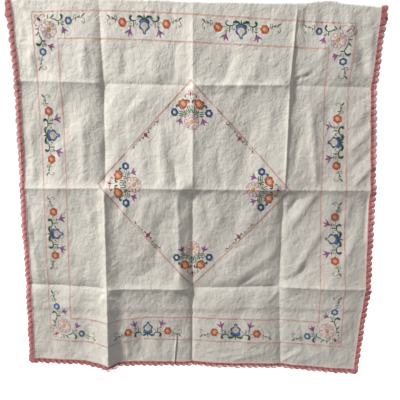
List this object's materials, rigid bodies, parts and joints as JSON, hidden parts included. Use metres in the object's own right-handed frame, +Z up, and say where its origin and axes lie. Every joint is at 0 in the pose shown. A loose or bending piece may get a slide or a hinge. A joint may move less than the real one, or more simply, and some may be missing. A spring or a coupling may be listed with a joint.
{
  "type": "embroidered tablecloth",
  "caption": "Near-square woven cloth with flower embroidery in line frames and a diamond and a crochet shell edging, hung by its top edge folded over a rail.",
  "frame": {"origin": "the middle of the underside of the cloth's top fold, where it sits on what carries it", "axes": "+X along the cloth's width to the right as seen from its face, -Y out of its embroidered face, +Z up"},
  "size_m": [1.014, 0.0543, 1.0475],
  "materials": {
    "cloth": "undyed cream plain-weave cotton, matt, pressed folds",
    "crochet": "dusty rose crochet cotton, worked in shells",
    "floss_coral": "faded coral stranded cotton, stem stitch",
    "floss_green": "dark and olive green stranded cotton, satin and stem stitch",
    "floss_blue": "steel blue stranded cotton, satin stitch",
    "floss_orange": "orange and peach stranded cotton, satin stitch",
    "floss_purple": "purple and magenta stranded cotton, satin stitch",
    "floss_rose": "pale rose stranded cotton with golden centres, satin and stem stitch"
  },
  "bodies": {
    "root": {"cloth": "cloth", "crochet_edging": "crochet"}
  },
  "joints": []
}
